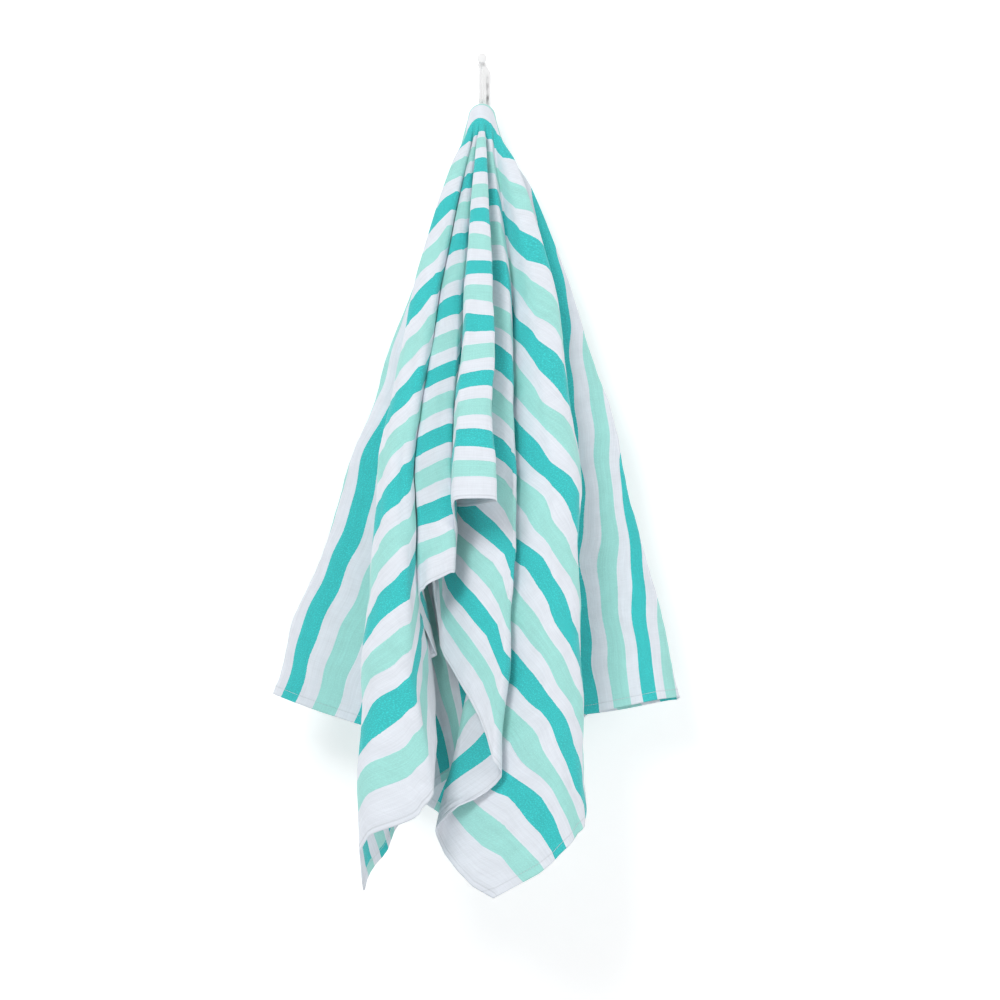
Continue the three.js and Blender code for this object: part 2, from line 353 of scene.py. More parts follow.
def corner_nudges(cut, places):
    """Turns the column nearest to each corner of the cut cloth onto it, so that the corner stays sharp."""
    _, flat, _, _ = hang(cut, places, np.ones(len(places)), np.zeros(len(places)))
    nudges = np.zeros(len(places))
    lean = math.degrees(math.atan2(cut.length, cut.width))
    for corner in (lean, HALF_TURN - lean, HALF_TURN + lean, -lean):
        turned = from_front(corner - flat)
        nearest = int(np.argmin(np.abs(turned)))
        nudges[nearest] = turned[nearest]
    return nudges


def crease_heights(flat, reach):
    """How far the creases lift each point of the cloth, in millimetres."""
    angle = from_front(flat)
    height = np.zeros(len(flat))
    for crease in CREASES:
        part = np.clip((reach - crease.near) / (crease.far - crease.near), 0, 1)
        line = crease.start + (crease.end - crease.start) * part
        away = np.radians(angle - line) * reach
        fade = (crease.far - crease.near) * CREASE_FADE
        ends = smooth_step(reach, crease.near, crease.near + fade)
        if crease.far < LOW_REACH:
            ends = ends * (1 - smooth_step(reach, crease.far - fade, crease.far))
        height += crease.height * ends * np.exp(-((away / crease.width) ** 2))
    return height


def wrinkle_heights(flat, reach):
    """Soft uneven wrinkles that run down from the hanging point, in millimetres."""
    angle = np.radians(flat)
    long_waves = steady_noise(np.stack([np.sin(angle) * 9, np.cos(angle) * 9, reach / 420], 1), 11)
    short_waves = steady_noise(np.stack([np.sin(angle) * 21, np.cos(angle) * 21, reach / 260], 1), 12)
    dents = steady_noise(np.stack([np.sin(angle) * reach / 55, np.cos(angle) * reach / 55], 1), 13)
    amount = smooth_step(reach, WRINKLES_START, WRINKLES_FULL)
    return amount * (LONG_WAVES * long_waves + SHORT_WAVES * short_waves + DENTS * dents)


def turned_under(flat, reach):
    """How much of the lift is left at each point: the layers lie close where the wide flap turns under."""
    near = np.exp(-(((from_front(flat) - UNDER_MIDDLE) / UNDER_WIDTH) ** 2))
    return 1 - UNDER_SHARE * near * smooth_step(reach, UNDER_START, LOW_REACH)


def grid_normals(grid):
    """Normals of a grid of rings by columns that closes round, pointing to the cloth's face side."""
    down = np.gradient(grid, axis=0)
    round_ = np.roll(grid, -1, axis=1) - np.roll(grid, 1, axis=1)
    return unit_rows(np.cross(down, round_))


class HungCloth:
    """The hung cloth as a grid of points in metres, with its normals and its places on the flat cut."""

    def __init__(self, cut):
        self.cut = cut
        places = column_places(cut.bend_steps, cut.leg_steps)
        shares = ring_shares(cut.rings, cut.edge_rings, EDGE_SHARE)
        self.columns, self.rings = len(places), len(shares)
        nudges = corner_nudges(cut, places)
        share = np.repeat(shares, self.columns)
        places, nudges = np.tile(places, self.rings), np.tile(nudges, self.rings)
        point, flat, reach, belly = hang(cut, places, share, nudges)
        grid = self.swayed(point).reshape(self.rings, self.columns, 3)
        lift = belly + crease_heights(flat, reach) + wrinkle_heights(flat, reach)
        lift = lift * turned_under(flat, reach)
        grid = grid + grid_normals(grid) * lift.reshape(self.rings, self.columns, 1)
        self.grid = grid * MM
        self.normals = grid_normals(grid)
        along = cut.length / 2 + reach * np.sin(np.radians(flat)) * MM
        across = cut.width / 2 - reach * np.cos(np.radians(flat)) * MM
        across = across + self.drifted(along, across)
        self.flat = np.stack([along, across], 1).reshape(self.rings, self.columns, 2)
        self.top = Vector((0, (LOOP_LOW.y + LOOP_HIGH.y) / 2, CLOTH_HIGH.z - cut.thickness / 2))

    def swayed(self, point):
        """Gives the whole cloth a slight, smooth sway, the same in each of its layers."""
        fall = smooth_step(-point[:, 2], 150, 700)[:, None]
        where = np.stack([point[:, 0] / 260, point[:, 1] / 260, point[:, 2] / 210], 1)
        sideways, outwards = steady_noise(where, 21) * SWAY_SIDEWAYS, steady_noise(where, 22) * SWAY_OUT
        return point + np.stack([sideways, outwards, np.zeros(len(point))], 1) * fall

    def drifted(self, along, across):
        """How far the stripes wander sideways, in metres. They run true at the cloth's edges."""
        inside = np.minimum.reduce([along, self.cut.length - along, across, self.cut.width - across])
        wander = steady_noise(np.stack([along / WANDER_ALONG, across / WANDER_ACROSS], 1), 31)
        return wander * WANDER * smooth_step(inside, WANDER_START, WANDER_FULL)

    def to_end(self):
        """How far each point lies from the nearer cut end, in metres."""
        along = self.flat[..., 0]
        return np.minimum(along, self.cut.length - along)

    def half_thickness(self):
        """Half the cloth's thickness at each point, with the hems' turned cloth and its puckers."""
        end = self.to_end()
        hem = 1 - smooth_step(end, self.cut.hem - 0.001, self.cut.hem + 0.002)
        pucker = 0.5 + 0.5 * np.sin(self.flat[..., 1] * 2 * math.pi / PUCKER_PITCH)
        return self.cut.thickness / 2 + hem * (HEM_SWELL + PUCKER_SWELL * pucker)

    def on_line(self, end_index, inset):
        """Points and normals of the line that lies `inset` metres inside one of the two cut ends."""
        along = self.flat[..., 0] if end_index == 0 else self.cut.length - self.flat[..., 0]
        found = []
        for column in range(self.columns):
            ways = along[:, column]
            if ways[-1] > inset:
                continue
            outer = int(np.argmax(ways <= inset))
            if outer == 0:
                continue
            share = (ways[outer - 1] - inset) / max(ways[outer - 1] - ways[outer], 1e-9)
            found.append([rows[outer - 1, column] * (1 - share) + rows[outer, column] * share
                          for rows in (self.grid, self.normals, self.flat)])
        order = np.argsort([row[2][1] for row in found])
        return [np.array([found[n][part] for n in order]) for part in range(3)]

    def mesh(self, name):
        """The cloth as one closed sheet: its face, its reverse and the narrow rim between them."""
        half = self.half_thickness()[..., None]
        sheets = [(self.grid + side * self.normals * half).reshape(-1, 3) for side in (1, -1)]
        lift = Vector((0, 0, self.cut.thickness / 2))
        points = np.concatenate([[self.top + lift], sheets[0], [self.top - lift], sheets[1]])
        count = 1 + self.rings * self.columns
        flat_top = np.array([[self.cut.length / 2, self.cut.width / 2]])
        flats = np.concatenate([flat_top, self.flat.reshape(-1, 2)] * 2)
        ring = np.arange(self.columns)
        after = (ring + 1) % self.columns
        face_side = [(0, 1 + c, 1 + d) for c, d in zip(ring, after)]
        for row in range(self.rings - 1):
            here, below = 1 + row * self.columns, 1 + (row + 1) * self.columns
            face_side += [(here + c, below + c, below + d, here + d) for c, d in zip(ring, after)]
        reverse_side = [tuple(count + n for n in reversed(face)) for face in face_side]
        last = 1 + (self.rings - 1) * self.columns
        rim = [(last + c, count + last + c, count + last + d, last + d) for c, d in zip(ring, after)]
        faces = [tuple(map(int, face)) for face in face_side + reverse_side + rim]
        mesh = bpy.data.meshes.new(name)
        mesh.from_pydata(points.tolist(), [], faces)
        mesh.update()
        layer = mesh.uv_layers.new(name=CUT_MAP)
        corners = np.empty(len(mesh.loops), dtype=np.int32)
        mesh.loops.foreach_get("vertex_index", corners)
        layer.uv.foreach_set("vector", flats[corners].astype(np.float32).ravel())
        slots = np.concatenate([np.zeros(len(face_side)), np.ones(len(reverse_side)), np.zeros(len(rim))])
        mesh.polygons.foreach_set("material_index", slots.astype(np.int32))
        mesh.polygons.foreach_set("use_smooth", np.ones(len(mesh.polygons), dtype=bool))
        return mesh


# ---------------------------------------------------------------- finishes


class Wire:
    """A value that runs through a finish's nodes, so that a sum of wires adds its own Math nodes."""

    def __init__(self, finish, socket):
        self.finish, self.socket = finish, socket

    def maths(self, operation, *values):
        return self.finish.node("ShaderNodeMath", {"operation": operation}, *values)

    def __add__(self, other):
        return self.maths("ADD", self, other)

    def __sub__(self, other):
        return self.maths("SUBTRACT", self, other)

    def __rsub__(self, other):
        return self.maths("SUBTRACT", other, self)

    def __mul__(self, other):
        return self.maths("MULTIPLY", self, other)

    def __truediv__(self, other):
        return self.maths("DIVIDE", self, other)

    def __mod__(self, other):
        return self.maths("FLOORED_MODULO", self, other)

    def __gt__(self, other):
        return self.maths("GREATER_THAN", self, other)

    def __lt__(self, other):
        return self.maths("LESS_THAN", self, other)

    __radd__, __rmul__ = __add__, __mul__

    def floor(self):
        return self.maths("FLOOR", self)

    def sine(self):
        return self.maths("SINE", self)

    def squared(self):
        return self * self

    def smaller(self, other):
        return self.maths("MINIMUM", self, other)

    def eased(self, low, high):
        """Runs smoothly from 0 at `low` to 1 at `high`."""
        return self.finish.node("ShaderNodeMapRange", {"interpolation_type": "SMOOTHSTEP"}, self, low, high)


class Finish:
    """A material under construction."""

    def __init__(self, name):
        self.material = bpy.data.materials.new(name)
        self.material.use_nodes = True
        self.nodes, self.links = self.material.node_tree.nodes, self.material.node_tree.links
        self.nodes.clear()

    def node(self, kind, settings, *values, out=0, **named):
        """Adds a node with its settings first, then its sockets' values or wires, and gives one output."""
        made = self.nodes.new(kind)
        for setting, value in settings.items():
            setattr(made, setting, value)
        sockets = [(made.inputs[n], value) for n, value in enumerate(values) if value is not None]
        sockets += [(made.inputs[key.replace("_", " ")], value) for key, value in named.items()]
        for socket, value in sockets:
            if isinstance(value, Wire):
                self.links.new(value.socket, socket)
            else:
                socket.default_value = value
        return Wire(self, made.outputs[out]) if made.outputs else None

    def mixed(self, share, first, second, how="MIX"):
        """A colour between two colours, by a share from 0 to 1. The node's first sockets are for numbers."""
        settings = {"data_type": "RGBA", "blend_type": how}
        return self.node("ShaderNodeMix", settings, share, *[None] * 5, first, second, out=2)

    def shaded(self, colour, amount):
        """A colour made lighter or darker by a wire around 1."""
        grey = self.node("ShaderNodeCombineColor", {}, amount, amount, amount)
        return self.mixed(1.0, colour, grey, "MULTIPLY")

    def stretched(self, vector, scale):
        return self.node("ShaderNodeVectorMath", {"operation": "MULTIPLY"}, vector, scale)

    def noise(self, vector, scale, detail=2.0):
        return self.node("ShaderNodeTexNoise", {}, Vector=vector, Scale=scale, Detail=detail)

    def bump(self, height):
        """A normal from a height in metres."""
        return self.node("ShaderNodeBump", {}, Height=height, Distance=1.0, Strength=1.0)

    def surfaced(self, **sockets):
        surface = self.node("ShaderNodeBsdfPrincipled", {}, **sockets)
        self.node("ShaderNodeOutputMaterial", {}, surface)
        return self.material


def opaque(colour):
    return (*colour, 1.0)


CUT_MAP = "cut cloth"

# The hems' seam and the woven line inside each selvedge, from the cloth's edges, in metres.
STITCH_LINE = 0.0125
STITCH_PITCH = 0.0036
SIDE_BIND = 0.005

# How uneven a stripe's edge is, in metres, and how far the grooves and the painted shade of the seam and the
# selvedge line spread, in square metres.
RAGGED_EDGE = 0.0011
SEAM_SPREAD = 0.0000012
BIND_SPREAD = 0.0000010

# One stitch, in metres: half its straight length, how many times that its points reach, its thread's radius,
# how far it stands off the cloth, and how far its points dip back in.
STITCH_HALF = STITCH_PITCH * 0.36
STITCH_POINT = 1.35
THREAD_RADIUS = 0.00028
STITCH_RISE = 0.0005
STITCH_DIP = 0.0003
STITCH_SIDES = 4


def woven_finish(name, cut, dye, reverse):
    """Striped cotton. The two faces of the weave show mint and turquoise the other way round. On the reverse,
    the turned hem along each cut end shows the face."""
    finish = Finish(name)
    flat = finish.node("ShaderNodeUVMap", {"uv_map": CUT_MAP})
    along, across = (finish.node("ShaderNodeSeparateXYZ", {}, flat, out=part) for part in (0, 1))
    to_end = along.smaller(cut.length - along)
    to_side = across.smaller(cut.width - across)

    ragged = finish.noise(finish.stretched(flat, (420, 900, 1)), 1.0)
    from_middle = across - cut.width / 2 + (ragged - 0.5) * RAGGED_EDGE
    repeat = cut.coloured + cut.white
    in_step = from_middle + cut.coloured / 2
    coloured = ((in_step % repeat) < cut.coloured) * (to_side > cut.selvedge)
    later = (in_step / repeat).floor() % 2
    turquoise = later
    if reverse:
        hem = to_end < cut.hem
        turquoise = hem * later + (1 - hem) * (1 - later)
    deep = finish.mixed(turquoise, opaque(dye.mint), opaque(dye.turquoise))
    colour = finish.mixed(coloured, opaque(dye.white), deep)

    long_yarns = finish.noise(finish.stretched(flat, (24, 820, 1)), 1.0)
    cross_yarns = finish.noise(finish.stretched(flat, (700, 30, 1)), 1.0)
    mottle = finish.noise(flat, 38.0, 4.0)
    crepe = finish.noise(finish.stretched(flat, (5, 330, 1)), 1.0)
    specks = finish.noise(flat, 620.0, 3.0).eased(0.48, 0.66)
    yarns = (long_yarns - 0.5) * 0.14 + (cross_yarns - 0.5) * 0.1 + (mottle - 0.5) * 0.16
    yarns = yarns + (crepe - 0.5) * 0.14 + specks * coloured * (0.08 + 0.3 * turquoise)
    # The seam and the selvedge line are grooves in the bump, and their colour is darkened with painted shade.
    seam_groove_and_shade = 1 - (to_end - STITCH_LINE).squared().eased(0, SEAM_SPREAD)
    selvedge_groove_and_shade = 1 - (to_side - SIDE_BIND).squared().eased(0, BIND_SPREAD)
    colour = finish.shaded(colour, 1 + yarns - seam_groove_and_shade * 0.1 - selvedge_groove_and_shade * 0.12)

    thread = 2 * math.pi / dye.thread
    weave = (along * thread).sine() * (across * thread).sine()
    puckers = finish.noise(finish.stretched(flat, (150, 260, 1)), 1.0)
    height = weave * 0.00007 + long_yarns * 0.00022 + cross_yarns * 0.00026 + puckers * 0.0005
    height = height - seam_groove_and_shade * 0.0003 - selvedge_groove_and_shade * 0.0003
    return finish.surfaced(
        Base_Color=colour,
        Roughness=0.86 + yarns * 0.3,
        Normal=finish.bump(height),
        Sheen_Weight=0.25,
        Sheen_Roughness=0.5,
        Specular_IOR_Level=0.25,
    )


def tape_finish(name, colour):
    """Narrow cotton tape, ribbed along its length."""
    finish = Finish(name)
    place = finish.node("ShaderNodeTexCoord", {}, out=3)
    ribs = finish.noise(finish.stretched(place, (2600, 2600, 160)), 1.0)
    picks = finish.noise(finish.stretched(place, (300, 300, 2200)), 1.0)
    shade = 0.94 + (ribs - 0.5) * 0.16 + (picks - 0.5) * 0.12
    return finish.surfaced(
        Base_Color=finish.shaded(opaque(colour), shade),
        Roughness=0.84 + (ribs - 0.5) * 0.1,
        Normal=finish.bump(ribs * 0.00025 + picks * 0.00018),
        Sheen_Weight=0.2,
    )


def paint_finish(name, colour):
    """Satin white paint on metal, a little uneven and duller where it is handled."""
    finish = Finish(name)
    place = finish.node("ShaderNodeTexCoord", {}, out=3)
    flow = finish.noise(place, 900.0, 3.0)
    dust = finish.noise(place, 240.0, 4.0)
    return finish.surfaced(
        Base_Color=finish.shaded(opaque(colour), 0.97 + (dust - 0.5) * 0.06),
        Roughness=0.38 + (dust - 0.5) * 0.3,
        Normal=finish.bump(flow * 0.00006),
        Coat_Weight=0.15,
    )


# ---------------------------------------------------------------- sizes and colours a user may change


class BlanketCut(bpy.types.PropertyGroup):
    """The blanket as it was cut and woven."""

    coloured: bpy.props.FloatProperty(
        name="Coloured stripe", description="Width of a mint or turquoise stripe", default=0.028,
        subtype="DISTANCE",
    )
    white: bpy.props.FloatProperty(
        name="White stripe", description="Width of a white stripe", default=0.0228, subtype="DISTANCE"
    )
    selvedge: bpy.props.FloatProperty(
        name="Selvedge", description="Width of the white band along each side", default=0.0368,
        subtype="DISTANCE",
    )
    width: bpy.props.FloatProperty(
        name="Width", description="Width of the flat cloth, across its stripes", default=1.524,
        subtype="DISTANCE",
    )
    length: bpy.props.FloatProperty(
        name="Length", description="Length of the flat cloth, along its stripes", default=2.0,
        subtype="DISTANCE",
    )
    thickness: bpy.props.FloatProperty(
        name="Thickness", description="Thickness of the cloth", default=0.0015, subtype="DISTANCE"
    )
    hem: bpy.props.FloatProperty(
        name="Hem", description="Depth of the turned hem on each cut end", default=0.015, subtype="DISTANCE"
    )
    bend_steps: bpy.props.IntProperty(name="Bend steps", description="Columns across each bend", default=3)
    leg_steps: bpy.props.IntProperty(name="Leg steps", description="Columns along each stretch", default=7)
    rings: bpy.props.IntProperty(name="Rings", description="Rings from the top to the edge", default=128)
    edge_rings: bpy.props.IntProperty(name="Edge rings", description="Rings in the hem's width", default=9)


class BlanketDye(bpy.types.PropertyGroup):
    """The colours and yarn of the blanket."""

    white: bpy.props.FloatVectorProperty(
        name="White", description="Undyed stripes", default=(0.76, 0.80, 0.86), subtype="COLOR"
    )
    mint: bpy.props.FloatVectorProperty(
        name="Mint", description="Pale green stripes", default=(0.36, 0.73, 0.68), subtype="COLOR"
    )
    turquoise: bpy.props.FloatVectorProperty(
        name="Turquoise", description="Deep stripes", default=(0.045, 0.51, 0.51), subtype="COLOR"
    )
    thread: bpy.props.FloatProperty(
        name="Thread", description="Distance over which the weave repeats", default=0.0018, subtype="DISTANCE"
    )


class HangerSizes(bpy.types.PropertyGroup):
    """The loop and the peg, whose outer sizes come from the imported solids."""

    shaft: bpy.props.FloatProperty(
        name="Shaft radius", description="Radius of the peg's shaft", default=0.003, subtype="DISTANCE"
    )
    foot: bpy.props.FloatProperty(
        name="Foot radius", description="Radius of the peg's foot on the wall", default=0.007,
        subtype="DISTANCE",
    )
    foot_length: bpy.props.FloatProperty(
        name="Foot length", description="How far the peg's foot stands off the wall", default=0.003,
        subtype="DISTANCE",
    )
    head_length: bpy.props.FloatProperty(
        name="Head length", description="Length of the peg's head", default=0.005, subtype="DISTANCE"
    )
    strand: bpy.props.FloatProperty(
        name="Strand", description="Width of one strand of the loop", default=0.0046, subtype="DISTANCE"
    )
    thread: bpy.props.FloatProperty(
        name="Whipping thread", description="Radius of the thread round the strands", default=0.0005,
        subtype="DISTANCE",
    )
    white: bpy.props.FloatVectorProperty(
        name="White", description="Paint and cotton", default=(0.86, 0.86, 0.86), subtype="COLOR"
    )


class StageSettings(bpy.types.PropertyGroup):
    """The camera, the backdrop and the floor."""

    distance: bpy.props.FloatProperty(
        name="Distance", description="From the camera to the hanging point's upright plane", default=4.0,
        subtype="DISTANCE",
    )
    seen: bpy.props.FloatProperty(
        name="Seen width", description="Width of the view at that plane", default=1.5873, subtype="DISTANCE"
    )
    aim: bpy.props.FloatVectorProperty(
        name="Aim", description="Right and up of the view's middle", size=2, default=(0.0286, -0.7),
        subtype="XYZ",
    )
    floor: bpy.props.FloatProperty(
        name="Floor", description="Height of the floor", default=-1.62, subtype="DISTANCE"
    )
    key: bpy.props.FloatProperty(name="Key", description="Power of the main soft light, in watts", default=90)
    fill: bpy.props.FloatProperty(name="Fill", description="Strength of the light all round", default=0.38)


# ---------------------------------------------------------------- making by hand


def clear_choice():
    if bpy.context.object and bpy.context.object.mode != "OBJECT":
        bpy.ops.object.mode_set(mode="OBJECT")
    bpy.ops.object.select_all(action="DESELECT")


def settle(obj, name, material):
    """Names a finished piece, puts its place into its mesh, and hands it to the frame."""
    clear_choice()
    obj.select_set(True)
    bpy.context.view_layer.objects.active = obj
    bpy.ops.object.transform_apply(location=True, rotation=True, scale=True)
    obj.name = obj.data.name = name
    if material:
        obj.data.materials.clear()
        obj.data.materials.append(material)
    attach(obj, "root")
    return obj


def choose_faces(obj, wanted):
    """Selects the faces, in edit mode, whose middle and normal pass a test."""
    bpy.ops.mesh.select_mode(type="FACE")
    bpy.ops.mesh.select_all(action="DESELECT")
    mesh = bmesh.from_edit_mesh(obj.data)
    for face in mesh.faces:
        face.select = bool(wanted(face.calc_center_median(), face.normal))
    bmesh.update_edit_mesh(obj.data)


def push_out(offset):
    bpy.ops.mesh.extrude_region_move(TRANSFORM_OT_translate={"value": offset})


def widen(value, centre):
    bpy.ops.transform.resize(value=value, center_override=centre)


def apply_modifier(obj, kind, **settings):
    modifier = obj.modifiers.new(kind.title(), kind)
    for setting, value in settings.items():
        setattr(modifier, setting, value)
    bpy.ops.object.modifier_apply(modifier=modifier.name)


def outward():
    """Closes the active piece's seams and turns its faces outwards."""
    bpy.ops.object.mode_set(mode="EDIT")
    bpy.ops.mesh.select_all(action="SELECT")
    bpy.ops.mesh.remove_doubles(threshold=0.00002)
    bpy.ops.mesh.normals_make_consistent(inside=False)
    bpy.ops.object.mode_set(mode="OBJECT")


# ---------------------------------------------------------------- the pieces


class OBJECT_OT_hang_cloth(bpy.types.Operator):
    """Hangs the striped cloth in its folds"""

    bl_idname = "object.blanket_hang_cloth"
    bl_label = "Hang the Cloth"

    def execute(self, context):
        cut, dye = context.scene.blanket_cut, context.scene.blanket_dye
        clear_choice()
        cloth = HungCloth(cut)
        obj = bpy.data.objects.new("striped_cloth", cloth.mesh("striped_cloth"))
        context.scene.collection.objects.link(obj)
        obj.data.materials.append(woven_finish("woven cotton, face", cut, dye, reverse=False))
        obj.data.materials.append(woven_finish("woven cotton, reverse", cut, dye, reverse=True))
        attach(obj, "root")
        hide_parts("blanket")
        stitches = sew_hems(context, cloth)
        return {"FINISHED"}


def along_rows(at, travelled, rows):
    """The point or normal at one place along a line of them."""
    return np.array([np.interp(at, travelled, rows[:, part]) for part in range(3)])


def add_stitch(points, faces, cloth, middle, ahead, normal, face_side):
    """Adds one stitch to a growing mesh: a short thread with a point at each end, on one face of the cloth."""
    beside = np.cross(normal, ahead)
    rise = middle + normal * face_side * (cloth.cut.thickness / 2 + STITCH_RISE)
    dip = normal * face_side * STITCH_DIP
    first = len(points)
    points.append(rise - ahead * STITCH_HALF * STITCH_POINT - dip)
    for along in (-STITCH_HALF, STITCH_HALF):
        for turn in range(STITCH_SIDES):
            angle = turn * 2 * math.pi / STITCH_SIDES
            around = beside * math.cos(angle) + normal * math.sin(angle)
            points.append(rise + ahead * along + around * THREAD_RADIUS)
    points.append(rise + ahead * STITCH_HALF * STITCH_POINT - dip)
    near, far, last = first + 1, first + 1 + STITCH_SIDES, first + 1 + 2 * STITCH_SIDES
    for turn in range(STITCH_SIDES):
        after = (turn + 1) % STITCH_SIDES
        faces.append((first, near + after, near + turn))
        faces.append((near + turn, near + after, far + after, far + turn))
        faces.append((last, far + turn, far + after))


def sew_hems(context, cloth):
    """Adds the hems' stitches, one after another along each line, on both faces of the cloth."""
    points, faces = [], []
    for end_index in (0, 1):
        line, normals, flats = cloth.on_line(end_index, STITCH_LINE)
        travelled = flats[:, 1]
        for at in np.arange(travelled[0] + STITCH_PITCH, travelled[-1], STITCH_PITCH):
            middle, normal = along_rows(at, travelled, line), along_rows(at, travelled, normals)
            ahead = along_rows(at + MM, travelled, line) - middle
            if lengths(ahead) < 1e-6:
                continue
            ahead, normal = unit_rows(ahead), unit_rows(normal)
            for face_side in (1, -1):
                add_stitch(points, faces, cloth, middle, ahead, normal, face_side)
    mesh = bpy.data.meshes.new("hem_stitches")
    mesh.from_pydata([tuple(point) for point in points], [], faces)
    mesh.polygons.foreach_set("use_smooth", np.ones(len(mesh.polygons), dtype=bool))
    obj = bpy.data.objects.new("hem_stitches", mesh)
    context.scene.collection.objects.link(obj)
    clear_choice()
    obj.select_set(True)
    context.view_layer.objects.active = obj
    outward()
    white = context.scene.blanket_dye.white
    return settle(obj, "hem_stitches", tape_finish("sewing thread", white))


# The loop's strands below the peg: each height in metres, and how full a strand is there, from 1 where it bends
# round the peg to 2 where it hangs at its full width beside the other.
LOOP_FALL = [
    (0.0, 1.0), (-0.005, 1.2), (-0.011, 1.7), (-0.017, 2.0), (-0.028, 2.03),
    (-0.040, 1.97), (-0.052, 2.02), (-0.062, 2.0), (-0.070, 2.0), (-0.0748, 1.98),
]
WHIPPING_TURNS = 5

# The tape where it bends round the peg: its thickness, as a share of the room there, and its width, against a
# strand's. Where they hang, the strands stand this much of their half width from the middle, and are this much
# flatter.
TAPE_THICKNESS = 0.8
TAPE_WIDTH = 1.15
STRAND_PLACE = 1.06
STRAND_FLATTER = 0.12


class OBJECT_OT_make_loop(bpy.types.Operator):
    """Bends the tape loop over the peg and whips its strands together"""

    bl_idname = "object.blanket_make_loop"
    bl_label = "Make the Loop"

    def execute(self, context):
        sizes = context.scene.blanket_hanger
        middle = (LOOP_LOW.y + LOOP_HIGH.y) / 2
        arm = (LOOP_HIGH.x + sizes.shaft) / 2
        thin = (LOOP_HIGH.x - sizes.shaft) / 2 * TAPE_THICKNESS
        strand = sizes.strand / 2
        clear_choice()
        bpy.ops.mesh.primitive_circle_add(
            vertices=12, radius=strand, fill_type="NGON", location=(arm, middle, 0), rotation=(0, 0, 0)
        )
        loop = context.object
        bpy.ops.object.mode_set(mode="EDIT")
        bpy.ops.mesh.select_all(action="SELECT")
        widen((thin / strand, TAPE_WIDTH, 1), (arm, middle, 0))
        bpy.ops.mesh.spin(steps=16, angle=-math.pi, center=(0, middle, 0), axis=(0, 1, 0))
        wide = strand / thin
        inwards = strand * STRAND_PLACE - arm
        for side in (1, -1):
            choose_faces(loop, lambda at, normal: at.x * side > 0 and at.z < 0.0001 and abs(normal.z) > 0.9)
            for (above, filled), (height, filling) in zip(LOOP_FALL, LOOP_FALL[1:]):
                before, share = min(1, filled - 1), min(1, filling - 1)
                place = arm + inwards * share
                step = side * (place - (arm + inwards * before))
                push_out((step, 0, height - above))
                ratio = (1 + (wide - 1) * share) / (1 + (wide - 1) * before)
                flat = (1 - STRAND_FLATTER * share) / (1 - STRAND_FLATTER * before)
                widen((ratio, flat, 1), (side * place, middle, height))
        bpy.ops.object.mode_set(mode="OBJECT")
        outward()
        apply_modifier(loop, "SUBSURF", levels=2, render_levels=2)
        bpy.ops.object.shade_smooth()
        cotton = tape_finish("white cotton tape", sizes.white)
        settle(loop, "hanging_loop", cotton)
        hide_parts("loop")
        self.whip(context, sizes, middle, cotton)
        return {"FINISHED"}

    def whip(self, context, sizes, middle, cotton):
        """Winds thread round both strands where they meet the cloth."""
        thread = sizes.thread
        turns = []
        for n in range(WHIPPING_TURNS):
            clear_choice()
            height = LOOP_LOW.z + 0.0035 + n * thread * 1.9
            bpy.ops.mesh.primitive_circle_add(
                vertices=8, radius=thread, fill_type="NOTHING", rotation=(math.pi / 2, 0, 0),
                location=(sizes.strand + thread * 0.6, middle, height),
            )
            ring = context.object
            bpy.ops.object.mode_set(mode="EDIT")
            bpy.ops.mesh.select_all(action="SELECT")
            bpy.ops.mesh.spin(steps=32, angle=2 * math.pi, center=(0, middle, height), axis=(0, 0, 1))
            bpy.ops.mesh.select_all(action="SELECT")
            widen((1, 0.56, 1), (0, middle, height))
            bpy.ops.object.mode_set(mode="OBJECT")
            outward()
            bpy.ops.object.shade_smooth()
            turns.append(ring)
        clear_choice()
        for ring in turns:
            ring.select_set(True)
        context.view_layer.objects.active = turns[0]
        bpy.ops.object.join()
        settle(turns[0], "loop_whipping", cotton)


# The round end of the peg's head: its share of the head's length, and its width against the head's.
CROWN_SHARE = 0.2
CROWN_WIDTH = 0.7


class OBJECT_OT_turn_peg(bpy.types.Operator):
    """Turns the peg from its foot to its round head"""

    bl_idname = "object.blanket_turn_peg"
    bl_label = "Turn the Peg"

    def execute(self, context):
        sizes = context.scene.blanket_hanger
        head = PEG_HIGH.x
        reach = -PEG_LOW.y
        clear_choice()
        bpy.ops.mesh.primitive_cylinder_add(
            vertices=48, radius=sizes.foot, depth=sizes.foot_length, rotation=(math.pi / 2, 0, 0),
            location=(0, -sizes.foot_length / 2, 0),
        )
        peg = context.object
        bpy.ops.object.transform_apply(location=True, rotation=True, scale=True)
        bpy.ops.object.mode_set(mode="EDIT")
        choose_faces(peg, lambda at, normal: normal.y < -0.9)
        neck = reach - sizes.head_length
        bpy.ops.mesh.inset(thickness=sizes.foot - sizes.shaft)
        push_out((0, -(neck - sizes.foot_length), 0))
        push_out((0, 0, 0))
        wide = head / sizes.shaft
        widen((wide, 1, wide), (0, -neck, 0))
        crown = sizes.head_length * CROWN_SHARE
        push_out((0, crown - sizes.head_length, 0))
        push_out((0, -crown, 0))
        widen((CROWN_WIDTH, 1, CROWN_WIDTH), (0, -reach, 0))
        bpy.ops.mesh.inset(thickness=crown * 1.2)
        bpy.ops.object.mode_set(mode="OBJECT")
        outward()
        edges = math.radians(25)
        apply_modifier(peg, "BEVEL", width=0.0006, segments=3, limit_method="ANGLE", angle_limit=edges)
        bpy.ops.object.shade_smooth_by_angle(angle=math.radians(40))
        settle(peg, "wall_peg", paint_finish("satin white paint", sizes.white))
        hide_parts("peg")
        return {"FINISHED"}


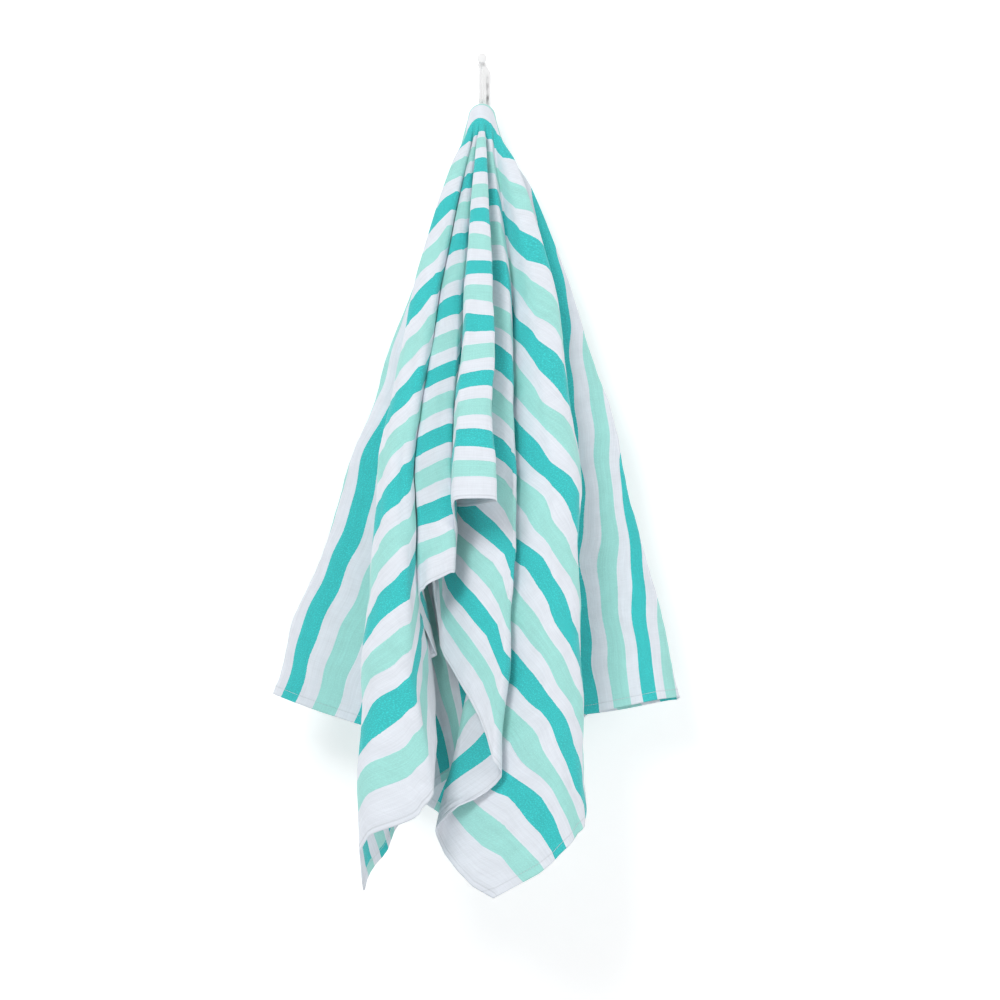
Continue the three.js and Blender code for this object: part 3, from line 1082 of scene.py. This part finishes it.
class OBJECT_OT_set_stage(bpy.types.Operator):
    """Sets the backdrop, the floor, the lights and the camera"""

    bl_idname = "object.blanket_set_stage"
    bl_label = "Set the Stage"

    def execute(self, context):
        settings = context.scene.blanket_stage
        wall = self.plane("backdrop", 9, (0, 0.004, 0), (math.pi / 2, 0, 0))
        wall.data.materials.append(self.backdrop_finish())
        floor = self.plane("floor", 16, (0, 0, settings.floor), (0, 0, 0))
        floor.data.materials.append(self.floor_finish())
        self.light("key_light", (-1.5, -3.4, 1.7), settings.key, 1.5)
        self.light("side_light", (2.4, -2.6, -0.2), settings.key * 0.3, 1.6)
        world = bpy.data.worlds.new("soft room")
        world.use_nodes = True
        world.node_tree.nodes["Background"].inputs["Color"].default_value = (1, 1, 1, 1)
        world.node_tree.nodes["Background"].inputs["Strength"].default_value = settings.fill
        context.scene.world = world
        context.scene.view_settings.view_transform = "Standard"
        aim = Vector((settings.aim[0], (LOOP_LOW.y + LOOP_HIGH.y) / 2, settings.aim[1]))
        camera = bpy.data.cameras.new("camera")
        camera.sensor_width = 36
        camera.lens = camera.sensor_width * settings.distance / settings.seen
        obj = bpy.data.objects.new("camera", camera)
        obj.location = aim + Vector((0, -settings.distance, 0))
        obj.rotation_euler = (math.pi / 2, 0, 0)
        context.scene.collection.objects.link(obj)
        context.scene.camera = obj
        return {"FINISHED"}

    def plane(self, name, size, location, rotation):
        clear_choice()
        bpy.ops.mesh.primitive_plane_add(size=size, location=location, rotation=rotation)
        bpy.context.object.name = name
        return bpy.context.object

    def light(self, name, location, power, size):
        light = bpy.data.lights.new(name, "AREA")
        light.energy, light.size = power, size
        obj = bpy.data.objects.new(name, light)
        obj.location = location
        middle = Vector((0, -0.15, (CLOTH_LOW.z + CLOTH_HIGH.z) / 2))
        obj.rotation_euler = (middle - obj.location).to_track_quat("-Z", "Y").to_euler()
        bpy.context.scene.collection.objects.link(obj)

    def backdrop_finish(self):
        """Bright paper that takes a faint shadow in front and isn't seen from behind."""
        finish = Finish("backdrop paper")
        paper = finish.node("ShaderNodeBsdfDiffuse", {}, (0.9, 0.9, 0.9, 1))
        glow = finish.node("ShaderNodeEmission", {}, (1, 1, 1, 1), 0.3)
        lit = finish.node("ShaderNodeAddShader", {}, paper, glow)
        clear = finish.node("ShaderNodeBsdfTransparent", {})
        behind = finish.node("ShaderNodeNewGeometry", {}, out=6)
        finish.node("ShaderNodeOutputMaterial", {}, finish.node("ShaderNodeMixShader", {}, behind, lit, clear))
        return finish.material

    def floor_finish(self):
        finish = Finish("pale floor")
        place = finish.node("ShaderNodeTexCoord", {}, out=3)
        grain = finish.noise(place, 6.0, 4.0)
        pale = finish.mixed(grain, (0.82, 0.82, 0.83, 1), (0.86, 0.86, 0.87, 1))
        return finish.surfaced(Base_Color=pale, Roughness=0.8)


class VIEW3D_PT_blanket(bpy.types.Panel):
    """Lists the blanket's sizes and its makers in the sidebar"""

    bl_label = "Hung Blanket"
    bl_space_type = "VIEW_3D"
    bl_region_type = "UI"
    bl_category = "Blanket"

    def draw(self, context):
        for group in GROUPS:
            settings = getattr(context.scene, group)
            for prop in settings.__annotations__:
                self.layout.prop(settings, prop)
        for operator in OPERATORS:
            self.layout.operator(operator.bl_idname)


GROUPS = {
    "blanket_cut": BlanketCut,
    "blanket_dye": BlanketDye,
    "blanket_hanger": HangerSizes,
    "blanket_stage": StageSettings,
}
OPERATORS = (OBJECT_OT_make_loop, OBJECT_OT_turn_peg, OBJECT_OT_hang_cloth, OBJECT_OT_set_stage)
CLASSES = (*GROUPS.values(), *OPERATORS, VIEW3D_PT_blanket)


def register():
    for made in CLASSES:
        bpy.utils.register_class(made)
    for name, group in GROUPS.items():
        setattr(bpy.types.Scene, name, bpy.props.PointerProperty(type=group))


def unregister():
    for name in GROUPS:
        delattr(bpy.types.Scene, name)
    for made in reversed(CLASSES):
        bpy.utils.unregister_class(made)


def main():
    register()
    bpy.ops.object.blanket_make_loop()
    bpy.ops.object.blanket_turn_peg()
    bpy.ops.object.blanket_hang_cloth()
    bpy.ops.object.blanket_set_stage()


if __name__ == "__main__":
    main()
